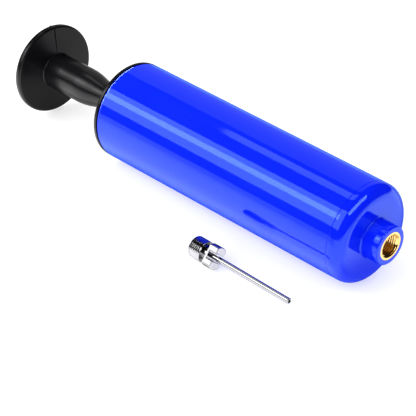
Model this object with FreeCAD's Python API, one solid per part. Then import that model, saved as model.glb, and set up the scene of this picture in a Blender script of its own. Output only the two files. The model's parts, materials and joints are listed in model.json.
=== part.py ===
import FreeCAD, Part
import math
import os

# Double action hand pump for balls, lying on its side with its loose inflation needle beside it.
# The pump's axis is X. The nozzle points to +X, +Z is up, and the origin is the centre of the
# nozzle's mouth. Everything in front of the nozzle is at positive x, so the pump itself is at
# negative x. All lengths are in millimetres, and a profile is a list of (x, radius) corners.

Vector = FreeCAD.Vector
PUMP_AXIS = Vector(1, 0, 0)
ORIGIN = Vector(0, 0, 0)

# ---- driving dimensions: outside of the pump ----
BOSS_RADIUS = 6.8
BOSS_LENGTH = 6.7
BODY_RADIUS_FRONT = 17.5
BODY_RADIUS_REAR = 18.4
SHOULDER_ROUNDING = 4.4
SEAM_X = -12.0
BARREL_REAR_X = -121.5
FLANGE_THICKNESS = 1.4
BARREL_WALL = 2.0
SEAM_ROUNDING = 0.2

# ---- driving dimensions: nozzle ----
THREAD_MINOR_RADIUS = 3.45
THREAD_MAJOR_RADIUS = 3.85
INSERT_RADIUS = 4.93
INSERT_LENGTH = 10.0

# ---- driving dimensions: working tube and piston ----
LINER_BORE_RADIUS = 12.2
LINER_OUTER_RADIUS = 13.4
ROD_RADIUS = 3.5
ROD_BORE_RADIUS = 1.8
LINER_FRONT_X = -19.3
LINER_REAR_X = -119.9
PISTON_MID_X = -29.0
PISTON_HUB_RADIUS = 7.0
STROKE = 80.0
STROKE_SPARE = 0.3

# ---- driving dimensions: handle ----
PALM_DISC_RADIUS = 17.5
PALM_FACE_X = -171.3
PALM_RIM_ROUNDING = 1.0
PALM_PLUG_RADIUS = 6.35
STEM_RADIUS = 6.95
STEM_FRONT_X = -145.8
STEM_REAR_X = -165.6
NECK_RADIUS = 4.85
NECK_FRONT_X = -130.3
NECK_REAR_X = -137.0

# ---- driving dimensions: needle ----
NEEDLE_LENGTH = 42.7
NEEDLE_THREAD_LENGTH = 5.4
NEEDLE_NECK_LENGTH = 1.3
NEEDLE_NECK_RADIUS = 2.5
NEEDLE_HUB_LENGTH = 10.6
NEEDLE_COLLAR_RADIUS = 4.1
NEEDLE_FLATS_APART = 5.0
NEEDLE_EAR_HEIGHT = 2.9
NEEDLE_EARS_APART = 2.8
NEEDLE_EAR_ANGLE = 50.0
NEEDLE_TUBE_RADIUS = 1.0
NEEDLE_SHANK_RADIUS = 0.8
NEEDLE_BORE_RADIUS = 0.6
NEEDLE_REAR_X = -57.9
NEEDLE_Y = -29.8

# ---- clearances ----
SLIP = 0.05
RUNNING = 0.05
PRESS = 0.02

# ---- places that several pieces share ----
SOCKET_RADIUS_FRONT = 15.9
SOCKET_DEPTH_FRONT = 10.3
SOCKET_RADIUS_REAR = 16.8
SOCKET_DEPTH_REAR = 7.5
PLENUM_RADIUS = 14.2
PLATE_FRONT_X = -16.0
PLATE_REAR_X = -18.5
END_WALL_X = -118.6
FLANGE_REAR_X = BARREL_REAR_X - FLANGE_THICKNESS
GLAND_RADIUS = 9.0
GLAND_REAR_X = -129.9
PORT_X = -116.4
ROD_FRONT_X = -25.6
ROD_COLLAR_REAR_X = END_WALL_X + STROKE + STROKE_SPARE
ROD_REAR_X = -159.0
VENT_X = -147.0
SCREW_SEAT_X = -162.3
SCREW_HEAD_X = -165.9
PLUG_SHOULDER_X = -167.0


def unit(vector):
    """The vector's direction, with length one."""
    return vector.multiply(1.0 / vector.Length)


def profile_wire(corners):
    """Closed outline in the XZ plane; a corner's third number is the radius that rounds it."""
    points = [Vector(corner[0], 0, corner[1]) for corner in corners]
    roundings = [corner[2] if len(corner) > 2 else 0.0 for corner in corners]
    count = len(points)
    arrivals = []
    departures = []
    arcs = []
    for index, point in enumerate(points):
        if roundings[index] == 0.0:
            arrivals.append(point)
            departures.append(point)
            arcs.append(None)
            continue
        back = unit(points[index - 1] - point)
        ahead = unit(points[(index + 1) % count] - point)
        half_angle = back.getAngle(ahead) / 2.0
        tangent_length = roundings[index] / math.tan(half_angle)
        start = point + back * tangent_length
        end = point + ahead * tangent_length
        depth = roundings[index] / math.sin(half_angle) - roundings[index]
        middle = point + unit(back + ahead) * depth
        arrivals.append(start)
        departures.append(end)
        arcs.append(Part.Arc(start, middle, end).toShape())
    edges = []
    for index in range(count):
        if arcs[index] is not None:
            edges.append(arcs[index])
        leave = departures[index]
        reach = arrivals[(index + 1) % count]
        if leave.distanceToPoint(reach) > 1e-6:
            edges.append(Part.LineSegment(leave, reach).toShape())
    return Part.Wire(edges)


def turned(corners, angle=360.0):
    """A piece turned on the pump's axis from its outline."""
    face = Part.Face(profile_wire(corners))
    return face.revolve(ORIGIN, PUMP_AXIS, angle)


def ring(front_x, rear_x, inner_radius, outer_radius):
    """A plain ring with a rectangular section."""
    return turned([(front_x, inner_radius), (front_x, outer_radius),
                   (rear_x, outer_radius), (rear_x, inner_radius)])


def o_ring(x, ring_radius, cord_radius):
    """A rubber ring with a round section, centred on the axis."""
    return Part.makeTorus(ring_radius, cord_radius, Vector(x, 0, 0), PUMP_AXIS)


def around(shape, count, first_angle=0.0):
    """Equal copies of a shape, spaced evenly about the pump's axis."""
    copies = []
    for index in range(count):
        copy = shape.copy()
        copy.rotate(ORIGIN, PUMP_AXIS, first_angle + index * 360.0 / count)
        copies.append(copy)
    return copies


def cut_all(shape, tools):
    """The shape with every tool taken away."""
    for tool in tools:
        shape = shape.cut(tool)
    return shape


def axial_hole(x_from, x_to, radius, offset):
    """A round cutter along X, offset above the axis."""
    return Part.makeCylinder(radius, x_to - x_from, Vector(x_from, 0, offset), PUMP_AXIS)


def radial_hole(x, radius, inner_radius, outer_radius):
    """A round cutter that points up from the axis."""
    height = outer_radius - inner_radius
    return Part.makeCylinder(radius, height, Vector(x, 0, inner_radius), Vector(0, 0, 1))


def mirrored_in_piston(shape):
    """The shape mirrored in the plane through the middle of the piston."""
    return shape.mirror(Vector(PISTON_MID_X, 0, 0), PUMP_AXIS)


def barrel_radius(x):
    """Outside radius of the drafted barrel at x."""
    share = (SEAM_X - x) / (SEAM_X - BARREL_REAR_X)
    return BODY_RADIUS_FRONT + share * (BODY_RADIUS_REAR - BODY_RADIUS_FRONT)


# ---- seal grooves and the gland's seats ----
GROOVE_HALF_WIDTH = 0.6
FRONT_GROOVE_X = -13.6
FRONT_GROOVE_RADIUS = 15.1
REAR_GROOVE_X = -119.8
REAR_GROOVE_RADIUS = 15.95
BUSH_REAR_X = -129.0
BUSH_RADIUS = 5.4
SEAL_SEAT_X = -122.2
SEAL_RADIUS = 6.95
RETAINER_SEAT_X = -119.6
RETAINER_RADIUS = 8.45


# ---- outer body ----

def barrel_tube():
    """Drafted outer tube, with a socket at each end for the cap that plugs it."""
    front_socket_x = SEAM_X - SOCKET_DEPTH_FRONT
    rear_socket_x = BARREL_REAR_X + SOCKET_DEPTH_REAR
    return turned([
        (SEAM_X, SOCKET_RADIUS_FRONT),
        (SEAM_X, BODY_RADIUS_FRONT, SEAM_ROUNDING),
        (BARREL_REAR_X, BODY_RADIUS_REAR, SEAM_ROUNDING),
        (BARREL_REAR_X, SOCKET_RADIUS_REAR),
        (rear_socket_x, SOCKET_RADIUS_REAR),
        (rear_socket_x, barrel_radius(rear_socket_x) - BARREL_WALL),
        (front_socket_x, barrel_radius(front_socket_x) - BARREL_WALL),
        (front_socket_x, SOCKET_RADIUS_FRONT),
    ])


def front_cap():
    """Rounded shoulder, end face and nozzle boss, with ribs that centre the valve plate."""
    spigot_radius = SOCKET_RADIUS_FRONT - SLIP
    spigot_end_x = -22.0
    hole_radius = INSERT_RADIUS + PRESS
    boss_rounding = 0.6
    end_wall_x = -8.7
    sleeve_rear_x = -10.5
    sleeve_radius = 7.0
    shell = turned([
        (0.0, hole_radius),
        (0.0, BOSS_RADIUS, boss_rounding),
        (-BOSS_LENGTH, BOSS_RADIUS, boss_rounding),
        (-BOSS_LENGTH, BODY_RADIUS_FRONT, SHOULDER_ROUNDING),
        (SEAM_X, BODY_RADIUS_FRONT, SEAM_ROUNDING),
        (SEAM_X, spigot_radius),
        (FRONT_GROOVE_X + GROOVE_HALF_WIDTH, spigot_radius),
        (FRONT_GROOVE_X + GROOVE_HALF_WIDTH, FRONT_GROOVE_RADIUS),
        (FRONT_GROOVE_X - GROOVE_HALF_WIDTH, FRONT_GROOVE_RADIUS),
        (FRONT_GROOVE_X - GROOVE_HALF_WIDTH, spigot_radius),
        (spigot_end_x, spigot_radius, 0.3),
        (spigot_end_x, PLENUM_RADIUS),
        (end_wall_x, PLENUM_RADIUS, 3.0),
        (end_wall_x, sleeve_radius),
        (sleeve_rear_x, sleeve_radius, 0.4),
        (sleeve_rear_x, hole_radius),
    ])
    rib_angle = 14.0
    rib_front_x = -13.0
    rib_shelf_radius = 12.4
    rib_root_radius = PLENUM_RADIUS + 0.3
    rib = turned([
        (rib_front_x, rib_root_radius),
        (rib_front_x, rib_shelf_radius, 0.3),
        (PLATE_FRONT_X, rib_shelf_radius),
        (PLATE_FRONT_X, LINER_OUTER_RADIUS + SLIP),
        (spigot_end_x, LINER_OUTER_RADIUS + SLIP),
        (spigot_end_x, rib_root_radius),
    ], rib_angle)
    return shell.fuse(around(rib, 6))


def nozzle_insert():
    """Threaded insert in the boss, its bore drawn at the thread's minor diameter."""
    return turned([
        (0.0, THREAD_MINOR_RADIUS),
        (0.0, INSERT_RADIUS, 0.1),
        (-INSERT_LENGTH, INSERT_RADIUS, 0.3),
        (-INSERT_LENGTH, THREAD_MINOR_RADIUS),
    ])


def front_cap_oring():
    """Seal in the front cap's groove, just clear of the groove's floor and the barrel."""
    cord_radius = (SOCKET_RADIUS_FRONT - FRONT_GROOVE_RADIUS) / 2 - PRESS
    return o_ring(FRONT_GROOVE_X, (SOCKET_RADIUS_FRONT + FRONT_GROOVE_RADIUS) / 2, cord_radius)


def end_cap():
    """Rear cap: thin flange, plug for the barrel, groove for the liner, and the rod's gland."""
    spigot_radius = SOCKET_RADIUS_REAR - SLIP
    spigot_front_x = -115.0
    spigot_bore_radius = 15.2
    liner_groove_x = LINER_REAR_X - 2 * SLIP
    rod_exit_radius = 4.5
    return turned([
        (BARREL_REAR_X, spigot_radius),
        (BARREL_REAR_X, BODY_RADIUS_REAR, 0.1),
        (FLANGE_REAR_X, BODY_RADIUS_REAR, 0.5),
        (FLANGE_REAR_X, GLAND_RADIUS, 0.5),
        (GLAND_REAR_X, GLAND_RADIUS, 0.8),
        (GLAND_REAR_X, rod_exit_radius),
        (BUSH_REAR_X, rod_exit_radius),
        (BUSH_REAR_X, BUSH_RADIUS + PRESS),
        (SEAL_SEAT_X, BUSH_RADIUS + PRESS),
        (SEAL_SEAT_X, SEAL_RADIUS + SLIP),
        (RETAINER_SEAT_X, SEAL_RADIUS + SLIP),
        (RETAINER_SEAT_X, RETAINER_RADIUS + SLIP),
        (END_WALL_X, RETAINER_RADIUS + SLIP),
        (END_WALL_X, LINER_BORE_RADIUS - SLIP),
        (liner_groove_x, LINER_BORE_RADIUS - SLIP),
        (liner_groove_x, LINER_OUTER_RADIUS + SLIP),
        (END_WALL_X, LINER_OUTER_RADIUS + SLIP),
        (END_WALL_X, spigot_bore_radius),
        (spigot_front_x, spigot_bore_radius),
        (spigot_front_x, spigot_radius, 0.3),
        (REAR_GROOVE_X + GROOVE_HALF_WIDTH, spigot_radius),
        (REAR_GROOVE_X + GROOVE_HALF_WIDTH, REAR_GROOVE_RADIUS),
        (REAR_GROOVE_X - GROOVE_HALF_WIDTH, REAR_GROOVE_RADIUS),
        (REAR_GROOVE_X - GROOVE_HALF_WIDTH, spigot_radius),
    ])


def end_cap_oring():
    """Seal in the end cap's groove, just clear of the groove's floor and the barrel."""
    cord_radius = (SOCKET_RADIUS_REAR - REAR_GROOVE_RADIUS) / 2 - PRESS
    return o_ring(REAR_GROOVE_X, (SOCKET_RADIUS_REAR + REAR_GROOVE_RADIUS) / 2, cord_radius)


# ---- rod gland ----

def rod_bush():
    """Plain bush that the rod slides in."""
    return ring(SEAL_SEAT_X - 2 * SLIP, BUSH_REAR_X + SLIP, ROD_RADIUS + RUNNING, BUSH_RADIUS)


def rod_lip_seal():
    """One-way lip seal: its lip faces the chamber, so it lets air in along the rod."""
    back_x = SEAL_SEAT_X + 2 * SLIP
    front_x = RETAINER_SEAT_X - 2 * SLIP
    lip_front_x = front_x - 0.1
    lip_length = 0.5
    return turned([
        (back_x, ROD_RADIUS + 0.3),
        (back_x, SEAL_RADIUS),
        (front_x, SEAL_RADIUS),
        (front_x, SEAL_RADIUS - 0.65),
        (back_x + 1.0, 5.6, 0.3),
        (lip_front_x, ROD_RADIUS + 0.7),
        (lip_front_x, ROD_RADIUS + RUNNING),
        (lip_front_x - lip_length, ROD_RADIUS + RUNNING),
    ])


def seal_retainer():
    """Ring that keeps the lip seal in, and the stop that the rod's collar meets."""
    return ring(END_WALL_X - SLIP, RETAINER_SEAT_X + SLIP, 4.2, RETAINER_RADIUS)


# ---- working tube and its valves ----

def liner():
    """Straight working tube, with outlet ports at its rear end."""
    tube = ring(LINER_FRONT_X, LINER_REAR_X, LINER_BORE_RADIUS, LINER_OUTER_RADIUS)
    port_radius = 0.9
    port = radial_hole(PORT_X, port_radius, LINER_BORE_RADIUS - 1.0, LINER_OUTER_RADIUS + 1.0)
    return cut_all(tube, around(port, 6, 30.0))


def liner_gasket():
    """Rubber washer between the valve plate and the liner."""
    return ring(PLATE_REAR_X - PRESS, LINER_FRONT_X + PRESS, LINER_BORE_RADIUS, LINER_OUTER_RADIUS)


def band_valve():
    """Rubber band round the liner: air lifts it on the pull stroke, and it shuts on the push."""
    front_x = PORT_X + 2.0
    rear_x = PORT_X - 1.8
    return ring(front_x, rear_x, LINER_OUTER_RADIUS + PRESS, LINER_OUTER_RADIUS + 0.7)


BALL_RADIUS = 2.0
BALL_X = -15.72
BALL_LIFT = 1.0
CAGE_FRONT_X = -11.2
CAGE_BORE_RADIUS = 2.5
SPRING_RADIUS = 1.2
SPRING_WIRE_RADIUS = 0.15
SPRING_TURNS = 3
SPRING_SHUT_LENGTH = 0.82
SPRING_SEAT_X = BALL_X + BALL_RADIUS + BALL_LIFT + SPRING_SHUT_LENGTH


def valve_plate():
    """Plate with the outlet seat, and the slotted cage that guides the ball."""
    cage_radius = 3.9
    port_radius = 1.3
    seat_rear_x = -17.3
    seat_front_x = -16.3
    seat_radius = 2.3
    cage_floor_x = seat_front_x + 0.2
    plate = turned([
        (CAGE_FRONT_X, CAGE_BORE_RADIUS),
        (CAGE_FRONT_X, cage_radius, 0.3),
        (PLATE_FRONT_X - PRESS, cage_radius),
        (PLATE_FRONT_X - PRESS, LINER_OUTER_RADIUS),
        (PLATE_REAR_X, LINER_OUTER_RADIUS),
        (PLATE_REAR_X, port_radius),
        (seat_rear_x, port_radius),
        (seat_front_x, seat_radius),
        (cage_floor_x, CAGE_BORE_RADIUS),
    ])
    slot_length = 2.6
    slot_width = 1.6
    slot_rear_x = cage_floor_x + 0.6
    slot_start = 1.8
    slot_depth = 3.0
    slot = Part.makeBox(slot_length, slot_width, slot_depth,
                        Vector(slot_rear_x, -slot_width / 2, slot_start))
    return cut_all(plate, around(slot, 4))


def outlet_ball():
    return Part.makeSphere(BALL_RADIUS, Vector(BALL_X, 0, 0))


def outlet_spring():
    """Light spring between the ball and its retainer."""
    touch_x = BALL_X + math.sqrt(BALL_RADIUS ** 2 - SPRING_RADIUS ** 2)
    rear_x = touch_x + SPRING_WIRE_RADIUS + SLIP
    front_x = SPRING_SEAT_X - SPRING_WIRE_RADIUS - PRESS
    length = front_x - rear_x
    path = Part.makeHelix(length / SPRING_TURNS, length, SPRING_RADIUS)
    section = Part.Wire(Part.makeCircle(SPRING_WIRE_RADIUS, Vector(SPRING_RADIUS, 0, 0),
                                        Vector(0, 1, 0)))
    spring = Part.Wire(path).makePipeShell([section], True, True)
    spring.rotate(ORIGIN, Vector(0, 1, 0), 90)
    spring.translate(Vector(rear_x, 0, 0))
    return spring


def spring_retainer():
    """Pierced disc that closes the cage and holds the spring."""
    thickness = 0.6
    return ring(SPRING_SEAT_X + thickness, SPRING_SEAT_X, 0.9, CAGE_BORE_RADIUS - PRESS)


# ---- piston ----

FLANGE_HALF = 1.5
CUP_BACK_X = PISTON_MID_X + FLANGE_HALF + SLIP
CUP_REACH = 4.25
CUP_THICKNESS = 2.05
CLIP_GROOVE_X = -24.2
CLIP_GROOVE_WIDTH = 0.8
CLIP_GROOVE_RADIUS = 6.3
INLET_RECESS_RADIUS = 5.2
INLET_SEAT_X = -24.0
ROD_ORING_X = -31.6
ROD_ORING_GROOVE_RADIUS = 4.6


def piston_core():
    """Spool that carries both cup seals and turns freely on the rod."""
    flange_radius = 11.9
    front_x = -22.2
    rear_x = -35.0
    recess_floor_x = -27.3
    bore_radius = ROD_RADIUS + RUNNING
    half_groove = CLIP_GROOVE_WIDTH / 2
    rear_groove_x = 2 * PISTON_MID_X - CLIP_GROOVE_X
    return turned([
        (front_x, INLET_RECESS_RADIUS),
        (front_x, PISTON_HUB_RADIUS, 0.3),
        (CLIP_GROOVE_X + half_groove, PISTON_HUB_RADIUS),
        (CLIP_GROOVE_X + half_groove, CLIP_GROOVE_RADIUS),
        (CLIP_GROOVE_X - half_groove, CLIP_GROOVE_RADIUS),
        (CLIP_GROOVE_X - half_groove, PISTON_HUB_RADIUS),
        (PISTON_MID_X + FLANGE_HALF, PISTON_HUB_RADIUS),
        (PISTON_MID_X + FLANGE_HALF, flange_radius, 0.3),
        (PISTON_MID_X - FLANGE_HALF, flange_radius, 0.3),
        (PISTON_MID_X - FLANGE_HALF, PISTON_HUB_RADIUS),
        (rear_groove_x + half_groove, PISTON_HUB_RADIUS),
        (rear_groove_x + half_groove, CLIP_GROOVE_RADIUS),
        (rear_groove_x - half_groove, CLIP_GROOVE_RADIUS),
        (rear_groove_x - half_groove, PISTON_HUB_RADIUS),
        (rear_x, PISTON_HUB_RADIUS, 0.3),
        (rear_x, bore_radius),
        (ROD_ORING_X - GROOVE_HALF_WIDTH, bore_radius),
        (ROD_ORING_X - GROOVE_HALF_WIDTH, ROD_ORING_GROOVE_RADIUS),
        (ROD_ORING_X + GROOVE_HALF_WIDTH, ROD_ORING_GROOVE_RADIUS),
        (ROD_ORING_X + GROOVE_HALF_WIDTH, bore_radius),
        (recess_floor_x, bore_radius),
        (recess_floor_x, INLET_RECESS_RADIUS),
    ])


def rod_oring():
    """Seal in the spool's groove, where the rod may turn."""
    cord_radius = 0.5
    return o_ring(ROD_ORING_X, ROD_RADIUS + cord_radius + 0.07, cord_radius)


def push_cup_seal():
    """Cup that seals the front chamber on the push stroke."""
    hub_radius = PISTON_HUB_RADIUS + SLIP
    lip_radius = LINER_BORE_RADIUS - 0.08
    lip_x = CUP_BACK_X + CUP_REACH
    return turned([
        (CUP_BACK_X, hub_radius),
        (CUP_BACK_X, lip_radius - 0.42),
        (lip_x - 1.8, lip_radius),
        (lip_x, lip_radius),
        (lip_x, lip_radius - 0.62),
        (CUP_BACK_X + CUP_THICKNESS, 10.8, 0.4),
        (CUP_BACK_X + CUP_THICKNESS, hub_radius),
    ])


def pull_cup_seal():
    """Cup that seals the rear chamber on the pull stroke."""
    return mirrored_in_piston(push_cup_seal())


def cup_washers():
    """Two washers, one on the open side of each cup."""
    rear_x = CUP_BACK_X + CUP_THICKNESS + SLIP
    thickness = 0.7
    front = ring(rear_x + thickness, rear_x, PISTON_HUB_RADIUS + SLIP, 10.0)
    return Part.makeCompound([front, mirrored_in_piston(front)])


def piston_circlips():
    """Two open rings in the spool's grooves that hold the washers and cups."""
    half = CLIP_GROOVE_WIDTH / 2 - SLIP
    gap = Part.makeBox(2.0, 4.0, 10.0, Vector(CLIP_GROOVE_X - 1.0, -2.0, 0.0))
    clip = ring(CLIP_GROOVE_X + half, CLIP_GROOVE_X - half, CLIP_GROOVE_RADIUS + PRESS, 7.9)
    front = clip.cut(gap)
    return Part.makeCompound([front, mirrored_in_piston(front)])


def inlet_seat():
    """Seat that the intake disc closes."""
    thickness = 1.2
    return ring(INLET_SEAT_X, INLET_SEAT_X - thickness, 1.8, INLET_RECESS_RADIUS - SLIP)


def inlet_cage():
    """Pierced cap that limits the intake disc's lift."""
    front_x = -20.6
    roof = 1.0
    bore_radius = 4.3
    hole_radius = 0.9
    hole_circle_radius = 2.6
    cage = turned([
        (front_x, 0.0),
        (front_x, INLET_RECESS_RADIUS - SLIP, 0.4),
        (INLET_SEAT_X + PRESS, INLET_RECESS_RADIUS - SLIP),
        (INLET_SEAT_X + PRESS, bore_radius),
        (front_x - roof, bore_radius),
        (front_x - roof, 0.0),
    ])
    hole = axial_hole(front_x - roof - SLIP, front_x + SLIP, hole_radius, hole_circle_radius)
    return cut_all(cage, around(hole, 4, 45.0))


def inlet_disc():
    """Loose rubber disc that opens on the pull stroke and shuts on the push stroke."""
    rear_x = INLET_SEAT_X + SLIP
    thickness = 1.0
    radius = 3.7
    return turned([
        (rear_x + thickness, 0.0),
        (rear_x + thickness, radius, 0.2),
        (rear_x, radius, 0.2),
        (rear_x, 0.0),
    ])


# ---- rod and handle ----

ROD_CLIP_FRONT_X = -26.35
ROD_CLIP_WIDTH = 0.8
ROD_CLIP_GROOVE_RADIUS = 2.9
SCREW_RADIUS = 2.0


def piston_rod():
    """Hollow rod: a clip and a collar trap the piston, and the handle's screw bites its end."""
    clip_rear_x = ROD_CLIP_FRONT_X - ROD_CLIP_WIDTH
    collar_radius = 4.6
    collar_length = 3.0
    screw_hole_end_x = -152.0
    rod = turned([
        (ROD_FRONT_X, ROD_BORE_RADIUS),
        (ROD_FRONT_X, ROD_RADIUS, 0.2),
        (ROD_CLIP_FRONT_X, ROD_RADIUS),
        (ROD_CLIP_FRONT_X, ROD_CLIP_GROOVE_RADIUS),
        (clip_rear_x, ROD_CLIP_GROOVE_RADIUS),
        (clip_rear_x, ROD_RADIUS),
        (ROD_COLLAR_REAR_X + collar_length, ROD_RADIUS),
        (ROD_COLLAR_REAR_X + collar_length, collar_radius),
        (ROD_COLLAR_REAR_X, collar_radius, 0.3),
        (ROD_COLLAR_REAR_X, ROD_RADIUS),
        (ROD_REAR_X, ROD_RADIUS, 0.2),
        (ROD_REAR_X, SCREW_RADIUS),
        (screw_hole_end_x, SCREW_RADIUS),
        (screw_hole_end_x, ROD_BORE_RADIUS),
    ])
    return rod.cut(vent_hole())


def vent_hole():
    """Intake hole on the underside, through the stem and into the rod."""
    radius = 1.0
    depth = 9.0
    return Part.makeCylinder(radius, depth, Vector(VENT_X, 0, 0), Vector(0, 0, -1))


def rod_clip():
    """Open ring on the rod's front end, which keeps the piston on."""
    front_x = ROD_CLIP_FRONT_X - SLIP
    rear_x = ROD_CLIP_FRONT_X - ROD_CLIP_WIDTH + SLIP
    gap = Part.makeBox(2.0, 4.4, 8.0, Vector(rear_x - 0.7, -2.2, 0.0))
    return ring(front_x, rear_x, ROD_CLIP_GROOVE_RADIUS + SLIP, 4.9).cut(gap)


def handle_grip():
    """Moulded handle: palm disc, straight stem and waisted neck."""
    bore_radius = ROD_RADIUS + PRESS
    bore_end_x = ROD_REAR_X - 0.1
    neck_sweep = 30.0
    rim_front_x = -167.2
    rim_rear_x = -169.6
    crown_x = -171.1
    counterbore_radius = 4.7
    body = turned([
        (NECK_FRONT_X, bore_radius),
        (NECK_FRONT_X, NECK_RADIUS, 0.5),
        (NECK_REAR_X, NECK_RADIUS, neck_sweep),
        (STEM_FRONT_X, STEM_RADIUS, neck_sweep),
        (STEM_REAR_X, STEM_RADIUS, 0.4),
        (rim_front_x, PALM_DISC_RADIUS, PALM_RIM_ROUNDING),
        (rim_rear_x, PALM_DISC_RADIUS, PALM_RIM_ROUNDING),
        (crown_x, 11.5, 12.0),
        (PALM_FACE_X, PALM_PLUG_RADIUS + SLIP),
        (PLUG_SHOULDER_X, PALM_PLUG_RADIUS + SLIP),
        (PLUG_SHOULDER_X, counterbore_radius),
        (SCREW_SEAT_X, counterbore_radius),
        (SCREW_SEAT_X, SCREW_RADIUS + 0.1),
        (bore_end_x, SCREW_RADIUS + 0.1),
        (bore_end_x, bore_radius),
    ])
    return body.cut(vent_hole())


WASHER_THICKNESS = 0.8


def handle_washer():
    """Washer under the screw's head."""
    front_x = SCREW_SEAT_X - PRESS
    return ring(front_x, front_x - WASHER_THICKNESS, SCREW_RADIUS + SLIP, 4.5)


def handle_screw():
    """Pan head screw, up the stem into the rod's end, with a hexagon socket."""
    head_radius = 3.6
    head_seat_x = SCREW_SEAT_X - WASHER_THICKNESS - SLIP
    shank_radius = SCREW_RADIUS - 0.03
    tip_x = -153.0
    screw = turned([
        (tip_x, 0.0),
        (tip_x, shank_radius, 0.4),
        (head_seat_x, shank_radius),
        (head_seat_x, head_radius),
        (SCREW_HEAD_X, head_radius, 0.8),
        (SCREW_HEAD_X, 0.0),
    ])
    socket_radius = 1.45
    socket_depth = 1.6
    corners = [Vector(SCREW_HEAD_X, socket_radius * math.cos(math.radians(60 * step)),
                      socket_radius * math.sin(math.radians(60 * step))) for step in range(7)]
    socket = Part.Face(Part.makePolygon(corners)).extrude(Vector(socket_depth, 0, 0))
    return screw.cut(socket)


def palm_plug():
    """Press-in cover over the screw, flush with the palm face."""
    spigot_front_x = -169.0
    shoulder_x = PLUG_SHOULDER_X - 0.2
    spigot_radius = 5.4
    return turned([
        (spigot_front_x, 0.0),
        (spigot_front_x, spigot_radius),
        (shoulder_x, spigot_radius),
        (shoulder_x, PALM_PLUG_RADIUS),
        (PALM_FACE_X, PALM_PLUG_RADIUS, 0.25),
        (PALM_FACE_X, 0.0),
    ])


# ---- loose needle: drawn along X from its rear end, then laid where it belongs ----

NEEDLE_COLLAR_X = NEEDLE_THREAD_LENGTH + NEEDLE_NECK_LENGTH
NEEDLE_TUBE_REAR = 3.0


def place_needle(shape):
    """Move a needle piece from the pump's axis to where the needle lies."""
    floor_z = -BODY_RADIUS_REAR
    shape.translate(Vector(NEEDLE_REAR_X, NEEDLE_Y, floor_z + NEEDLE_COLLAR_RADIUS))
    return shape


def ear_block(x_from, x_to, across, along):
    """A block centred on the axis: along the line through both ears, and across it."""
    block = Part.makeBox(x_to - x_from, along, across, Vector(x_from, -along / 2, -across / 2))
    block.rotate(ORIGIN, PUMP_AXIS, NEEDLE_EAR_ANGLE)
    return block


def needle_hub():
    """Threaded hub, neck and gripping collar; the thread is drawn at its major diameter.

    The collar has two flats, and a slot across its front that leaves two ears to turn it by.
    """
    tube_hole_radius = NEEDLE_SHANK_RADIUS + PRESS
    passage_radius = 1.6
    hub = turned([
        (0.0, passage_radius),
        (0.0, THREAD_MAJOR_RADIUS, 0.4),
        (NEEDLE_THREAD_LENGTH, THREAD_MAJOR_RADIUS, 0.3),
        (NEEDLE_THREAD_LENGTH, NEEDLE_NECK_RADIUS),
        (NEEDLE_COLLAR_X, NEEDLE_NECK_RADIUS),
        (NEEDLE_COLLAR_X, NEEDLE_COLLAR_RADIUS, 0.3),
        (NEEDLE_HUB_LENGTH, NEEDLE_COLLAR_RADIUS, 0.6),
        (NEEDLE_HUB_LENGTH, tube_hole_radius),
        (NEEDLE_TUBE_REAR, tube_hole_radius),
        (NEEDLE_TUBE_REAR, passage_radius),
    ])
    past_front = NEEDLE_HUB_LENGTH + 1.0
    wide = 2 * NEEDLE_COLLAR_RADIUS + 2.0
    collar_room = ear_block(NEEDLE_COLLAR_X, past_front, wide, wide)
    bar = ear_block(NEEDLE_COLLAR_X, past_front, NEEDLE_FLATS_APART, wide)
    slot_floor_x = NEEDLE_HUB_LENGTH - NEEDLE_EAR_HEIGHT
    slot = ear_block(slot_floor_x, past_front, wide, NEEDLE_EARS_APART)
    return place_needle(hub.cut(collar_room.cut(bar)).cut(slot))


def needle_tube():
    """Thin open-ended tube, necked down as far as the hub reaches."""
    rear_x = NEEDLE_TUBE_REAR + SLIP
    return place_needle(turned([
        (rear_x, NEEDLE_BORE_RADIUS),
        (rear_x, NEEDLE_SHANK_RADIUS),
        (NEEDLE_HUB_LENGTH, NEEDLE_SHANK_RADIUS),
        (NEEDLE_HUB_LENGTH, NEEDLE_TUBE_RADIUS),
        (NEEDLE_LENGTH, NEEDLE_TUBE_RADIUS, 0.3),
        (NEEDLE_LENGTH, NEEDLE_BORE_RADIUS),
    ]))


PIECES = [
    barrel_tube, front_cap, nozzle_insert, front_cap_oring, end_cap, end_cap_oring,
    rod_bush, rod_lip_seal, seal_retainer,
    liner, liner_gasket, band_valve, valve_plate, outlet_ball, outlet_spring, spring_retainer,
    piston_core, rod_oring, push_cup_seal, pull_cup_seal, cup_washers, piston_circlips,
    inlet_seat, inlet_cage, inlet_disc,
    piston_rod, rod_clip, handle_grip, handle_washer, handle_screw, palm_plug,
    needle_hub, needle_tube,
]


def main():
    os.makedirs("parts", exist_ok=True)
    for piece in PIECES:
        shape = piece()
        box = shape.BoundBox
        shape.exportStep(f"parts/{piece.__name__}.step")
        print(f"{piece.__name__:18s} solids {len(shape.Solids)}  valid {shape.isValid()}  "
              f"volume {shape.Volume:9.1f}  x {box.XMin:8.2f} to {box.XMax:7.2f}")


main()
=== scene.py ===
# %% [markdown]
# # A double action hand pump
# A gloss blue barrel with a brass nozzle, a black palm handle on a sliding rod, and a loose
# inflation needle that lies beside it.
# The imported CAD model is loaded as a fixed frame. It already holds every piece at its real place
# and size, in metres, with X along the pump and out of the nozzle.
# This lesson keeps the rod and the pieces inside the pump as they are and gives them their
# materials. It makes the pieces that show at rest again with clean quads, because gloss plastic
# shows every bad facet.

import json
import math

import bmesh
import bpy
from mathutils import Matrix, Vector


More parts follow.
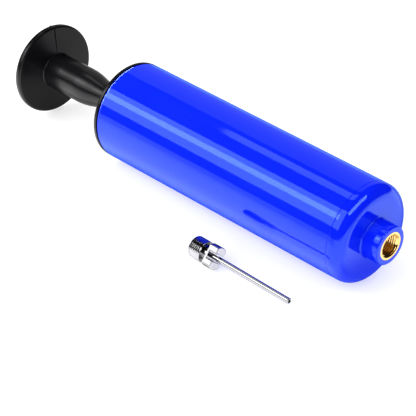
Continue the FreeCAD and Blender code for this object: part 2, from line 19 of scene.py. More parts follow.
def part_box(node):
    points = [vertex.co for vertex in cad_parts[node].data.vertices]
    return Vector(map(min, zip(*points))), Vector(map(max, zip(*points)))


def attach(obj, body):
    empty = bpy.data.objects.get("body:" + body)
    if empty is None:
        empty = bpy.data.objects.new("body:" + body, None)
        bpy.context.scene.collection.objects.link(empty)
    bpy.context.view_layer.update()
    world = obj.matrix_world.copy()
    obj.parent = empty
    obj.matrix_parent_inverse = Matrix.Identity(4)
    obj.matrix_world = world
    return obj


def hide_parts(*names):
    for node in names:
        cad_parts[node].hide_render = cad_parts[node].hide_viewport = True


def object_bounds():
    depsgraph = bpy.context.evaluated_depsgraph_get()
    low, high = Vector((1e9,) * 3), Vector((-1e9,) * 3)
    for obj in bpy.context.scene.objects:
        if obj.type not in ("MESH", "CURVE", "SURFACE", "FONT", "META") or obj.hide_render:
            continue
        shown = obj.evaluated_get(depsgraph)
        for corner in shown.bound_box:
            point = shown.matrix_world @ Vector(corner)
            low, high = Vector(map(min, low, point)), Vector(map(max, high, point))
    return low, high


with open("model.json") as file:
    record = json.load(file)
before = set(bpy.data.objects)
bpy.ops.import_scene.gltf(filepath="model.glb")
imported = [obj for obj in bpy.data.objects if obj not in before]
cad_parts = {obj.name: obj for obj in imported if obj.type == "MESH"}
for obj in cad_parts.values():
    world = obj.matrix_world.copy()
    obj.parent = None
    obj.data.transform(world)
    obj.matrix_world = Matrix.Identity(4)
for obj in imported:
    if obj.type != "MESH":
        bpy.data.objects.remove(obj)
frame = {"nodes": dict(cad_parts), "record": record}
cad_low, cad_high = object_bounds()
MM = 0.001

# %% [markdown]
# ## The floor
# The pump lies on a white sweep in a white studio, so the first thing to settle is what its gloss
# will mirror. The sweep glows a little, as a sheet of opal acrylic does when it is lit from below,
# and that keeps the shadow pale and the blue of the barrel from spilling over the floor.
# The pump doesn't mirror that glow. It mirrors a brighter pool with soft edges that lies along its
# near side and in front of its nozzle. So the barrel's lower half and the nozzle's face are
# bright, and the barrel's far edge stays blue.

# %% The floor
FLOOR_SIZE = 8.0
FLOOR_COLOUR = (0.62, 0.62, 0.62, 1.0)
FLOOR_ROUGHNESS = 0.9
FLOOR_MIRROR = 0.1
FLOOR_CUTS = 8
FLOOR_GLOW = 0.50
POOL_GLOW = 1.4
POOL_EDGES = (-0.010, -0.022, -0.050, -0.190)
FRONT_GLOW = 1.15
FRONT_EDGES = (0.000, 0.014, 0.080, 0.300)


def new_material(name):
    """A material with one Principled shader, and that shader."""
    material = bpy.data.materials.new(name)
    material.use_nodes = True
    shader = material.node_tree.nodes["Principled BSDF"]
    return material, shader


def band_of_light(tree, position, edges, strength):
    """A soft band of glow between four places on the floor: none, full, full and none."""
    near, full, fading, gone = edges
    rise = tree.nodes.new("ShaderNodeMapRange")
    fall = tree.nodes.new("ShaderNodeMapRange")
    for ramp, low, high in ((rise, near, full), (fall, gone, fading)):
        ramp.interpolation_type = "SMOOTHSTEP"
        ramp.inputs["From Min"].default_value = low
        ramp.inputs["From Max"].default_value = high
        tree.links.new(position, ramp.inputs["Value"])
    rise.inputs["To Max"].default_value = strength
    tree.links.new(rise.outputs["Result"], fall.inputs["To Max"])
    return fall.outputs["Result"]


def pool_of_light(tree):
    """The glow beside the pump on its near side and in front of its nozzle."""
    place = tree.nodes.new("ShaderNodeTexCoord")
    split = tree.nodes.new("ShaderNodeSeparateXYZ")
    brighter = tree.nodes.new("ShaderNodeMath")
    brighter.operation = "MAXIMUM"
    tree.links.new(place.outputs["Object"], split.inputs["Vector"])
    beside = band_of_light(tree, split.outputs["Y"], POOL_EDGES, POOL_GLOW)
    in_front = band_of_light(tree, split.outputs["X"], FRONT_EDGES, FRONT_GLOW)
    tree.links.new(beside, brighter.inputs[0])
    tree.links.new(in_front, brighter.inputs[1])
    return brighter.outputs["Value"]


def make_floor():
    """A flat sheet at the pump's lowest point, with its white material."""
    mesh = bpy.data.meshes.new("floor")
    build = bmesh.new()
    bmesh.ops.create_grid(build, x_segments=FLOOR_CUTS, y_segments=FLOOR_CUTS,
                          size=FLOOR_SIZE / 2)
    build.to_mesh(mesh)
    build.free()
    floor = bpy.data.objects.new("floor", mesh)
    floor.location = (0, 0, cad_low.z)
    bpy.context.collection.objects.link(floor)
    material, shader = new_material("white_sweep")
    shader.inputs["Base Color"].default_value = FLOOR_COLOUR
    shader.inputs["Roughness"].default_value = FLOOR_ROUGHNESS
    shader.inputs["Specular IOR Level"].default_value = FLOOR_MIRROR
    shader.inputs["Emission Color"].default_value = (1.0, 1.0, 1.0, 1.0)
    tree = material.node_tree
    path = tree.nodes.new("ShaderNodeLightPath")
    glow = tree.nodes.new("ShaderNodeMix")
    glow.data_type = "FLOAT"
    glow.inputs["A"].default_value = FLOOR_GLOW
    tree.links.new(pool_of_light(tree), glow.inputs["B"])
    tree.links.new(path.outputs["Is Glossy Ray"], glow.inputs["Factor"])
    tree.links.new(glow.outputs["Result"], shader.inputs["Emission Strength"])
    mesh.materials.append(material)
    return floor


floor = make_floor()
print("floor at z", round(floor.location.z, 4))

# %% [markdown]
# ## The room
# The room is white for the camera and for the light that it scatters, but dark in reflections.
# A studio does the same with black cards: without them a gloss piece mirrors white all over and
# its colour looks washed out.

# %% The room
ROOM_LIGHT = 0.98
ROOM_IN_GLOSS = 0.02


def make_room():
    """The world, with one strength for gloss and another for everything else."""
    world = bpy.data.worlds.new("studio")
    world.use_nodes = True
    tree = world.node_tree
    background = tree.nodes["Background"]
    path = tree.nodes.new("ShaderNodeLightPath")
    level = tree.nodes.new("ShaderNodeMix")
    level.data_type = "FLOAT"
    level.inputs["A"].default_value = ROOM_LIGHT
    level.inputs["B"].default_value = ROOM_IN_GLOSS
    tree.links.new(path.outputs["Is Glossy Ray"], level.inputs["Factor"])
    background.inputs["Color"].default_value = (1.0, 1.0, 1.0, 1.0)
    tree.links.new(level.outputs["Result"], background.inputs["Strength"])
    bpy.context.scene.world = world


make_room()
bpy.context.scene.view_settings.view_transform = "Standard"
print("room light", ROOM_LIGHT, "and", ROOM_IN_GLOSS, "in gloss")

# %% [markdown]
# ## The soft boxes
# A gloss cylinder shows its surroundings as stripes that run along it, and each stripe is a lamp,
# a dark gap or the floor. Long soft boxes that lie parallel to the pump give straight stripes.
# A place beside the pump is given as an angle about its axis: 0 is level and towards the viewer,
# 90 is straight up, and 180 is level behind it.
# Two lamps do what a white card does when it is held up to lighten one face. One, nozzle_front,
# lightens the front cap, and rear_card draws the barrel's rounded rear edge as a fine line. They
# only show in gloss. They would wash out the brass and the needle, so each is linked to its one
# piece as soon as that piece has been made.

# %% The lamp helpers
BARREL_MIDDLE = Vector(((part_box("barrel_tube")[0].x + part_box("barrel_tube")[1].x) / 2, 0, 0))


def soft_box(name, angle, distance, along, length, width, power, gloss_only=False):
    """A rectangular lamp parallel to the pump, at an angle about its axis, that faces it."""
    lamp = bpy.data.lights.new(name, "AREA")
    lamp.shape = "RECTANGLE"
    lamp.size = length
    lamp.size_y = width
    lamp.energy = power
    turn = math.radians(angle)
    outward = Vector((0, -math.cos(turn), math.sin(turn)))
    along_pump = Vector((1, 0, 0))
    across = outward.cross(along_pump)
    box = bpy.data.objects.new(name, lamp)
    rotation = Matrix((along_pump, across, outward)).transposed().to_4x4()
    place = BARREL_MIDDLE + outward * distance + along_pump * along
    box.matrix_world = Matrix.Translation(place) @ rotation
    box.visible_camera = False
    box.visible_diffuse = not gloss_only
    bpy.context.collection.objects.link(box)
    return box


def end_card(name, distance, size, power):
    """A square lamp behind the handle that faces along the pump and only shows in gloss."""
    lamp = bpy.data.lights.new(name, "AREA")
    lamp.size = size
    lamp.energy = power
    card = bpy.data.objects.new(name, lamp)
    facing = Matrix.Rotation(math.radians(-90.0), 4, "Y")
    card.matrix_world = Matrix.Translation((cad_low.x - distance, 0, 0)) @ facing
    card.visible_camera = False
    card.visible_diffuse = False
    bpy.context.collection.objects.link(card)
    return card


def light_only(lamp, piece):
    """Let a lamp light one piece and nothing else."""
    only = bpy.data.collections.new("lit_by_" + lamp.name)
    only.objects.link(piece)
    lamp.light_linking.receiver_collection = only


print("lamp helpers ready")

# %% The soft boxes
# Each line gives a name, then the angle in degrees, the distance from the axis, the place along
# the pump, the length, the width, and the power in watts.
soft_box("key_panel", 40.5, 0.80, -0.33, 1.10, 0.60, 5.2)
soft_box("key_core", 44, 0.78, -0.58, 0.55, 0.16, 1.15)
soft_box("nozzle_overhead", 95, 0.80, -0.34, 0.50, 0.21, 0.55)
nozzle_front = soft_box("nozzle_front", 88, 0.80, 0.62, 0.46, 0.90, 7.0, gloss_only=True)
soft_box("back_panel", 146, 0.90, -0.62, 0.70, 1.15, 1.1)
rear_card = end_card("rear_card", distance=1.2, size=1.8, power=120.0)

# %% [markdown]
# ## The camera
# The viewer stands in front of the nozzle and to the side of the needle, and looks down at about
# a third of a right angle. A long lens keeps the barrel's taper mild.

# %% The camera
CAMERA_PLACE = Vector((0.2235, -0.2980, 0.2559))
CAMERA_AZIMUTH = math.radians(45.77)
CAMERA_ELEVATION = math.radians(33.27)
CAMERA_LENS = 122.9
CAMERA_SENSOR = 36.0
CAMERA_NEAREST = 0.01


def make_camera():
    """The camera, turned to look from its azimuth and its elevation."""
    data = bpy.data.cameras.new("camera")
    data.lens = CAMERA_LENS
    data.sensor_width = CAMERA_SENSOR
    data.clip_start = CAMERA_NEAREST
    camera = bpy.data.objects.new("camera", data)
    level = math.cos(CAMERA_ELEVATION)
    back = Vector((math.sin(CAMERA_AZIMUTH) * level, -math.cos(CAMERA_AZIMUTH) * level,
                   math.sin(CAMERA_ELEVATION)))
    camera.rotation_mode = "QUATERNION"
    camera.rotation_quaternion = back.to_track_quat("Z", "Y")
    camera.location = CAMERA_PLACE
    bpy.context.collection.objects.link(camera)
    bpy.context.scene.camera = camera
    return camera


camera = make_camera()
print("camera at", tuple(round(v, 3) for v in camera.location))

# %% [markdown]
# ## Shared effects
# Each effect is a node group, built once, with named sockets. It puts out only a colour, a
# roughness or a height, and the material decides where those go.

# %% A helper for node groups
def new_group(name, inputs, outputs):
    """An empty shader group with its sockets; returns the tree and its two end nodes."""
    tree = bpy.data.node_groups.new(name, "ShaderNodeTree")
    for label, kind, value in inputs:
        socket = tree.interface.new_socket(label, in_out="INPUT", socket_type=kind)
        socket.default_value = value
    for label, kind in outputs:
        tree.interface.new_socket(label, in_out="OUTPUT", socket_type=kind)
    start = tree.nodes.new("NodeGroupInput")
    end = tree.nodes.new("NodeGroupOutput")
    return tree, start, end


def add(tree, kind, **settings):
    """A node with its plain settings."""
    node = tree.nodes.new(kind)
    for key, value in settings.items():
        setattr(node, key, value)
    return node


def noise(tree, place, scale, detail=2.0):
    """Noise at a place, with its scale linked or set."""
    node = add(tree, "ShaderNodeTexNoise")
    node.inputs["Detail"].default_value = detail
    tree.links.new(place, node.inputs["Vector"])
    if isinstance(scale, (int, float)):
        node.inputs["Scale"].default_value = scale
    else:
        tree.links.new(scale, node.inputs["Scale"])
    return node.outputs["Fac"]


def math_node(tree, operation, first, second):
    """A sum, product or other step on two values or sockets."""
    node = add(tree, "ShaderNodeMath", operation=operation)
    for socket, value in zip(node.inputs, (first, second)):
        if isinstance(value, (int, float)):
            socket.default_value = value
        else:
            tree.links.new(value, socket)
    return node.outputs["Value"]


def stretched(tree, place, scale):
    """The place with each axis scaled, which draws a noise out into lines or rings."""
    node = add(tree, "ShaderNodeMapping")
    node.inputs["Scale"].default_value = scale
    tree.links.new(place, node.inputs["Vector"])
    return node.outputs["Vector"]


def remapped(tree, value, low, high, to_low=0.0, to_high=1.0):
    """The value moved from one range to another, held inside it."""
    node = add(tree, "ShaderNodeMapRange")
    tree.links.new(value, node.inputs["Value"])
    for label, number in (("From Min", low), ("From Max", high),
                          ("To Min", to_low), ("To Max", to_high)):
        node.inputs[label].default_value = number
    return node.outputs["Result"]


# A Mix node has sockets for every kind of value. These are the places of its colour sockets.
FIRST_COLOUR = 6
SECOND_COLOUR = 7
MIXED_COLOUR = 2


def blended(tree, share, first, second):
    """A colour between two, by share."""
    node = add(tree, "ShaderNodeMix", data_type="RGBA")
    tree.links.new(share, node.inputs["Factor"])
    tree.links.new(first, node.inputs[FIRST_COLOUR])
    tree.links.new(second, node.inputs[SECOND_COLOUR])
    return node.outputs[MIXED_COLOUR]


print("node helpers ready")

# %% [markdown]
# The first effect is the skin of a moulded gloss part. Real gloss plastic isn't a perfect mirror:
# the melt leaves a very slow waviness, and handling leaves fine hairlines that only show in a
# highlight. Plain noise makes the waviness. Noise that is drawn out along X makes the hairlines,
# and, at a far larger scale, the faint drift of colour along the melt's flow.

# %% The moulded skin group
FLOW_STRETCH = (18, 60, 60)
HAIRLINE_STRETCH = (250, 5200, 5200)
HANDLING_SCALE = 45.0
LEAST_HANDLING = 0.15


def make_moulded_skin():
    """Colour that drifts with the melt's flow, hairlines in the gloss, and a slow ripple."""
    tree, start, end = new_group(
        "moulded_skin",
        [("Colour", "NodeSocketColor", (0.5, 0.5, 0.5, 1)),
         ("Flow Colour", "NodeSocketColor", (0.4, 0.4, 0.4, 1)),
         ("Gloss", "NodeSocketFloat", 0.08),
         ("Dulling", "NodeSocketFloat", 0.05),
         ("Ripple Scale", "NodeSocketFloat", 60.0)],
        [("Colour", "NodeSocketColor"), ("Roughness", "NodeSocketFloat"),
         ("Height", "NodeSocketFloat")])
    place = add(tree, "ShaderNodeTexCoord").outputs["Object"]
    flow = noise(tree, stretched(tree, place, FLOW_STRETCH), 1.0)
    share = remapped(tree, flow, 0.35, 0.7)
    colour = blended(tree, share, start.outputs["Colour"], start.outputs["Flow Colour"])
    hairlines = noise(tree, stretched(tree, place, HAIRLINE_STRETCH), 1.0, detail=1.0)
    hairline_mask = remapped(tree, hairlines, 0.66, 0.78)
    handling = remapped(tree, noise(tree, place, HANDLING_SCALE), 0.4, 0.75, LEAST_HANDLING)
    worn = math_node(tree, "MULTIPLY", hairline_mask, handling)
    dulled = math_node(tree, "MULTIPLY", worn, start.outputs["Dulling"])
    roughness = math_node(tree, "ADD", dulled, start.outputs["Gloss"])
    ripple = noise(tree, place, start.outputs["Ripple Scale"], detail=1.0)
    tree.links.new(colour, end.inputs["Colour"])
    tree.links.new(roughness, end.inputs["Roughness"])
    tree.links.new(ripple, end.inputs["Height"])
    return tree


moulded_skin = make_moulded_skin()
print("group:", moulded_skin.name)

# %% [markdown]
# The second effect is turned metal. A lathe leaves rings about the axis, so the noise is drawn
# out until it only changes along X and with the distance from the axis. Handling and air leave
# slightly duller, darker patches on plated and brass parts.

# %% The turned metal group
RING_STRETCH = (1.0, 0.02, 0.02)
PATCH_SCALE = 420.0
PATCH_DETAIL = 4.0
RING_DULLING = 0.05
PATCH_DULLING = 0.25


def make_turned_metal():
    """Fine lathe rings, and duller patches where the metal has tarnished."""
    tree, start, end = new_group(
        "turned_metal",
        [("Colour", "NodeSocketColor", (0.7, 0.7, 0.7, 1)),
         ("Tarnish Colour", "NodeSocketColor", (0.5, 0.5, 0.5, 1)),
         ("Tarnish", "NodeSocketFloat", 0.3),
         ("Polish", "NodeSocketFloat", 0.08),
         ("Ring Density", "NodeSocketFloat", 9000.0)],
        [("Colour", "NodeSocketColor"), ("Roughness", "NodeSocketFloat"),
         ("Height", "NodeSocketFloat")])
    place = add(tree, "ShaderNodeTexCoord").outputs["Object"]
    lathe = noise(tree, stretched(tree, place, RING_STRETCH), start.outputs["Ring Density"])
    patches = remapped(tree, noise(tree, place, PATCH_SCALE, PATCH_DETAIL), 0.45, 0.8)
    share = math_node(tree, "MULTIPLY", patches, start.outputs["Tarnish"])
    colour = blended(tree, share, start.outputs["Colour"], start.outputs["Tarnish Colour"])
    ring_share = remapped(tree, lathe, 0.3, 0.7, to_high=RING_DULLING)
    patch_share = math_node(tree, "MULTIPLY", share, PATCH_DULLING)
    roughness = math_node(tree, "ADD", start.outputs["Polish"], ring_share)
    roughness = math_node(tree, "ADD", roughness, patch_share)
    tree.links.new(colour, end.inputs["Colour"])
    tree.links.new(roughness, end.inputs["Roughness"])
    tree.links.new(lathe, end.inputs["Height"])
    return tree


turned_metal = make_turned_metal()
print("group:", turned_metal.name)

# %% [markdown]
# ## The finishes
# Seven finishes cover the pump. Each is a Principled shader fed by one of the groups through its
# colour, roughness and a very shallow bump.
# The barrel's blue is nearly pure: it has almost no red, a little green and a lot of blue. Its
# mirror image is tinted a little towards blue as well, which keeps the stripes from looking
# chalky. A clear film that absorbs a little red does the same for the barrel's edges, where the
# light passes through more of it.

# %% A helper for finishes
BUMP_STRENGTH = 0.5


def finish(name, group, values, bump_distance, metallic=0.0, tint=None, mirror=0.5,
           edge_tint=None):
    """A material whose colour, roughness and bump come from a shared group."""
    material, shader = new_material(name)
    tree = material.node_tree
    effect = add(tree, "ShaderNodeGroup", node_tree=group)
    for label, value in values.items():
        effect.inputs[label].default_value = value
    bump = add(tree, "ShaderNodeBump")
    bump.inputs["Strength"].default_value = BUMP_STRENGTH
    bump.inputs["Distance"].default_value = bump_distance
    tree.links.new(effect.outputs["Height"], bump.inputs["Height"])
    tree.links.new(effect.outputs["Colour"], shader.inputs["Base Color"])
    tree.links.new(effect.outputs["Roughness"], shader.inputs["Roughness"])
    tree.links.new(bump.outputs["Normal"], shader.inputs["Normal"])
    shader.inputs["Metallic"].default_value = metallic
    shader.inputs["Specular IOR Level"].default_value = mirror
    if tint is not None:
        shader.inputs["Specular Tint"].default_value = tint
    if edge_tint is not None:
        shader.inputs["Coat Weight"].default_value = 1.0
        shader.inputs["Coat IOR"].default_value = 1.0
        shader.inputs["Coat Roughness"].default_value = 0.0
        shader.inputs["Coat Tint"].default_value = edge_tint
    return material


print("finish helper ready")

# %% The finishes
blue_plastic = finish(
    "blue_gloss_plastic", moulded_skin,
    {"Colour": (0.0024, 0.0125, 0.78, 1), "Flow Colour": (0.0034, 0.017, 0.82, 1),
     "Gloss": 0.05, "Dulling": 0.10, "Ripple Scale": 28.0},
    0.00002, tint=(0.56, 0.97, 1.0, 1), edge_tint=(0.82, 0.92, 1.0, 1))
black_plastic = finish(
    "black_gloss_plastic", moulded_skin,
    {"Colour": (0.0020, 0.0020, 0.0028, 1), "Flow Colour": (0.0045, 0.0045, 0.0058, 1),
     "Gloss": 0.25, "Dulling": 0.14, "Ripple Scale": 160.0},
    0.00006, mirror=0.3)
natural_plastic = finish(
    "natural_plastic", moulded_skin,
    {"Colour": (0.72, 0.72, 0.67, 1), "Flow Colour": (0.80, 0.80, 0.75, 1),
     "Gloss": 0.35, "Dulling": 0.15, "Ripple Scale": 240.0},
    0.00004)
black_rubber = finish(
    "black_rubber", moulded_skin,
    {"Colour": (0.012, 0.012, 0.012, 1), "Flow Colour": (0.024, 0.024, 0.023, 1),
     "Gloss": 0.55, "Dulling": 0.2, "Ripple Scale": 900.0},
    0.00006)
brass = finish(
    "turned_brass", turned_metal,
    {"Colour": (0.85, 0.57, 0.21, 1), "Tarnish Colour": (0.36, 0.16, 0.05, 1),
     "Tarnish": 0.5, "Polish": 0.07, "Ring Density": 9000.0},
    0.000004, metallic=1.0)
chrome = finish(
    "plated_steel", turned_metal,
    {"Colour": (0.42, 0.42, 0.43, 1), "Tarnish Colour": (0.25, 0.25, 0.26, 1),
     "Tarnish": 0.30, "Polish": 0.07, "Ring Density": 7000.0},
    0.000003, metallic=1.0, tint=(0.10, 0.10, 0.10, 1))
steel = finish(
    "bright_steel", turned_metal,
    {"Colour": (0.62, 0.62, 0.63, 1), "Tarnish Colour": (0.40, 0.39, 0.38, 1),
     "Tarnish": 0.35, "Polish": 0.16, "Ring Density": 5000.0},
    0.000006, metallic=1.0)
FINISHES = {
    "blue_plastic": blue_plastic, "black_plastic": black_plastic,
    "natural_plastic": natural_plastic, "black_rubber": black_rubber,
    "brass": brass, "chrome": chrome, "steel": steel,
}
print("finishes:", sorted(FINISHES))

# %% [markdown]
# ## The pieces that stay as they are
# Every CAD node gets the finish that its material slot names. The ones that are made again below
# give way to their better versions, and nearly all of the others are inside the pump. The rod is
# the one that shows, when the handle is pulled out, and its plain cylinder needs no more than its
# steel.

# %% Finish the CAD nodes
def finish_cad_nodes():
    """Give each CAD node the finish of its slot, and return how many were done."""
    done = 0
    for part in frame["record"]["subparts"]:
        node = frame["nodes"][part["node"]]
        node.data.materials.clear()
        node.data.materials.append(FINISHES[part["material_slot"]])
        done += 1
    return done


print("CAD nodes finished:", finish_cad_nodes())

# %% [markdown]
# ## Turning a piece from its outline
# Almost every piece of a pump is turned or moulded round, so one helper makes them all. It takes
# corners as (x, radius) in millimetres, and a third number rounds that corner with a true arc.
# The outline is then carried round the axis in quads. Its angles count as they do for the lamps:
# 0 is towards the viewer and 90 is up. A relief function may push single points in or out, which
# is how a thread gets into the same mesh.

# %% The outline helper
def rounded(corners, steps=8):
    """The closed outline of (x, radius) points in millimetres, with rounded corners as arcs."""
    points = [Vector((c[0], c[1])) for c in corners]
    outline = []
    for index, corner in enumerate(corners):
        point = points[index]
        if len(corner) == 2:
            outline.append(point)
            continue
        back = (points[index - 1] - point).normalized()
        ahead = (points[(index + 1) % len(points)] - point).normalized()
        half = back.angle(ahead) / 2
        middle = (back + ahead).normalized()
        centre = point + middle * (corner[2] / math.sin(half))
        start = point + back * (corner[2] / math.tan(half)) - centre
        end = point + ahead * (corner[2] / math.tan(half)) - centre
        swing = start.angle_signed(end)
        for step in range(steps + 1):
            arm = start.copy()
            arm.rotate(Matrix.Rotation(-swing * (step / steps), 2))
            outline.append(centre + arm)
    return outline


def filled_in(outline, index, count):
    """The outline with the run after point index cut into count equal parts."""
    first = outline[index]
    second = outline[(index + 1) % len(outline)]
    between = [first.lerp(second, step / count) for step in range(1, count)]
    return outline[:index + 1] + between + outline[index + 1:]


print("outline helpers ready")

# %% The turning helper
SEGMENTS = 192


def add_turned(build, outline, segments=SEGMENTS, relief=None, start=0.0, sweep=360.0,
               angles=None):
    """Add a turned skin to a bmesh, whole or over a sweep, with even columns or given ones."""
    whole = sweep == 360.0
    if angles is None:
        columns = segments if whole else segments + 1
        angles = [start + sweep * step / segments for step in range(columns)]
    columns = len(angles)
    strips = columns if whole else columns - 1
    rings = []
    for point in outline:
        if point.y == 0:
            rings.append([build.verts.new((point.x * MM, 0, 0))])
            continue
        ring = []
        for angle in map(math.radians, angles):
            radius = relief(point.x, point.y, angle) if relief else point.y
            ring.append(build.verts.new((point.x * MM, -radius * math.cos(angle) * MM,
                                         radius * math.sin(angle) * MM)))
        rings.append(ring)
    for first, second in zip(rings, rings[1:] + rings[:1]):
        if len(first) == 1 and len(second) == 1:
            continue
        for step in range(strips):
            after = (step + 1) % columns
            corners = [first[step % len(first)], first[after % len(first)],
                       second[after % len(second)], second[step % len(second)]]
            build.faces.new(list(dict.fromkeys(corners)))
    if not whole:
        build.faces.new([ring[0] for ring in rings])
        build.faces.new([ring[-1] for ring in rings])


print("a whole turn has", SEGMENTS, "columns")

# %% The finishing helper
SHARP_ANGLE = 32.0
THREAD_SHARP_ANGLE = 50.0


def finish_piece(build, name, body, slot, nodes, offset=None, sharp_angle=SHARP_ANGLE):
    """Turn the bmesh into a piece that rides on its body and stands for its CAD nodes."""
    bmesh.ops.recalc_face_normals(build, faces=build.faces)
    mesh = bpy.data.meshes.new(name)
    build.to_mesh(mesh)
    build.free()
    if offset is not None:
        mesh.transform(Matrix.Translation(offset))
    mesh.shade_smooth()
    mesh.set_sharp_from_angle(angle=math.radians(sharp_angle))
    mesh.materials.append(FINISHES[slot])
    piece = bpy.data.objects.new(name, mesh)
    bpy.context.collection.objects.link(piece)
    even = piece.modifiers.new("even_shading", "WEIGHTED_NORMAL")
    even.keep_sharp = True
    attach(piece, body)
    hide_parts(*nodes)
    print(f"{name}: {len(mesh.vertices)} points on {body}")
    return piece


print("finishing helper ready")

# %% The measuring helpers
def x_range(node):
    """A CAD node's rear and front x, in millimetres."""
    low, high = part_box(node)
    return low[0] / MM, high[0] / MM


def outer_radius(node):
    """A turned CAD node's largest radius, in millimetres."""
    low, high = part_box(node)
    return (high[2] - low[2]) / 2 / MM


print("barrel", [round(x, 1) for x in x_range("barrel_tube")], "mm along X")

# %% [markdown]
# ## The barrel
# The barrel is one long moulding with a slight draft, so that it comes off its core: it is wider
# at the handle end. A tiny rounding at the nozzle end makes one half of the fine seam that shows
# as a double line of light. The handle end is rounded more, and the black flange behind it shows
# there as a narrow band.

# %% The barrel
REAR_RADIUS = outer_radius("barrel_tube")
FRONT_RADIUS = outer_radius("front_cap")
BARREL_REAR, SEAM = x_range("barrel_tube")
SEAM_ROUNDING = 0.2
REAR_ROUNDING = 1.2
SOCKET_FRONT = 15.9
SOCKET_REAR = 16.8
FRONT_SOCKET_DEPTH = 10.3
REAR_SOCKET_DEPTH = 7.5
WALL_REAR = 2.06
WALL_FRONT = 1.92


def barrel_outline():
    """The nozzle-end face, the drafted outside, the handle-end face and the inside."""
    front_socket = SEAM - FRONT_SOCKET_DEPTH
    rear_socket = BARREL_REAR + REAR_SOCKET_DEPTH
    return rounded([
        (SEAM, SOCKET_FRONT), (SEAM, FRONT_RADIUS, SEAM_ROUNDING),
        (BARREL_REAR, REAR_RADIUS, REAR_ROUNDING), (BARREL_REAR, SOCKET_REAR),
        (rear_socket, SOCKET_REAR), (rear_socket, REAR_RADIUS - WALL_REAR),
        (front_socket, FRONT_RADIUS - WALL_FRONT), (front_socket, SOCKET_FRONT),
    ])


build = bmesh.new()
add_turned(build, barrel_outline())
barrel_shell = finish_piece(build, "barrel_shell", "barrel", "blue_plastic", ["barrel_tube"])
light_only(rear_card, barrel_shell)

# %% [markdown]
# ## The front cap
# The cap carries the rounded shoulder, the flat end face and the nozzle boss. The boss keeps a
# small fillet at its root and on its rim: on gloss plastic those fillets are the bright rings.
# Six ribs inside hold the valve plate and the liner in line. The spigot behind the shoulder slides
# into the barrel, and the groove round it holds an O-ring.

# %% The front cap
INSERT_RADIUS = outer_radius("nozzle_insert")
BOSS_RADIUS = 6.8
BOSS_LENGTH = 6.7
BOSS_FILLET = 0.6
SHOULDER = 4.4
CAP_REAR, MOUTH = x_range("front_cap")
SPIGOT_GAP = 0.05
O_RING_GROOVE = (-13.0, -14.2, 15.1)
PLENUM_RADIUS = 14.2
PLENUM_FRONT = -8.7
PLENUM_FILLET = 3.0
INSERT_COLLAR = (-10.5, 7.0)
FINE_STEPS = 12


def front_cap_outline():
    """The boss and shoulder, the spigot, the plenum, and the collar round the insert's end."""
    spigot = SOCKET_FRONT - SPIGOT_GAP
    hole = INSERT_RADIUS + 0.02
    face = MOUTH - BOSS_LENGTH
    groove_front, groove_rear, groove_floor = O_RING_GROOVE
    collar_rear, collar_radius = INSERT_COLLAR
    return rounded([
        (MOUTH, hole), (MOUTH, BOSS_RADIUS, BOSS_FILLET), (face, BOSS_RADIUS, BOSS_FILLET),
        (face, FRONT_RADIUS, SHOULDER), (SEAM, FRONT_RADIUS, SEAM_ROUNDING), (SEAM, spigot),
        (groove_front, spigot), (groove_front, groove_floor), (groove_rear, groove_floor),
        (groove_rear, spigot), (CAP_REAR, spigot, 0.3), (CAP_REAR, PLENUM_RADIUS),
        (PLENUM_FRONT, PLENUM_RADIUS, PLENUM_FILLET), (PLENUM_FRONT, collar_radius),
        (collar_rear, collar_radius, 0.4), (collar_rear, hole),
    ], steps=FINE_STEPS)


print("shoulder rounded by", SHOULDER, "mm, boss", BOSS_LENGTH, "mm long")

# %% The front cap with its ribs
RIBS = 6
RIB_SWEEP = 14.0
RIB_COLUMNS = 8
RIB_FRONT = -13.0
PLATE_STOP = -16.0
PLATE_EDGE = 12.4
LINER_RADIUS = 13.45
RIB_ROOT = PLENUM_RADIUS + 0.3


def rib_outline():
    """A stepped rib: the valve plate stops at its step and the liner stands inside it."""
    rear = CAP_REAR + 0.02
    return rounded([
        (RIB_FRONT, RIB_ROOT), (RIB_FRONT, PLATE_EDGE, 0.3), (PLATE_STOP, PLATE_EDGE),
        (PLATE_STOP, LINER_RADIUS), (rear, LINER_RADIUS), (rear, RIB_ROOT),
    ])


build = bmesh.new()
add_turned(build, front_cap_outline())
for index in range(RIBS):
    add_turned(build, rib_outline(), segments=RIB_COLUMNS, start=360.0 / RIBS * index,
               sweep=RIB_SWEEP)
front_cap_shell = finish_piece(build, "front_cap_shell", "barrel", "blue_plastic", ["front_cap"])
light_only(nozzle_front, front_cap_shell)

# %% [markdown]
# ## Threads
# A thread's flank rises and falls once per pitch, and the whole wave is carried round by one
# pitch per turn. So a thread is only a relief: at each point, how far along the wave are we? The
# wave's peaks and valleys are cut flat, as on a real rolled or tapped thread.
# The needle and the nozzle share a pitch of 32 to the inch.

# %% The thread relief
PITCH = 25.4 / 32
THREAD_DEPTH = 0.4
POINTS_PER_PITCH = 12
THREAD_FLAT = 0.12


def thread_wave(x, angle):
    """Height of a right-handed thread, 0 in the root and 1 on the crest."""
    turn = (x / PITCH + angle / (2 * math.pi)) % 1.0
    flank = 1.0 - abs(2.0 * turn - 1.0)
    return min(1.0, max(0.0, (flank - THREAD_FLAT) / (1.0 - 2.0 * THREAD_FLAT)))


def faded(x, low, high, fade):
    """1 in the middle of a threaded length, and down to 0 at its ends."""
    return max(0.0, min(1.0, (x - low) / fade, (high - x) / fade))


print("thread of pitch", round(PITCH, 3), "mm and depth", THREAD_DEPTH, "mm")

# %% [markdown]
# ## The nozzle insert
# A turned brass bush, pressed flush into the boss. Its rim shows as a thin bright ring with a
# chamfer inside it, and the first turns of the thread catch the light below that.

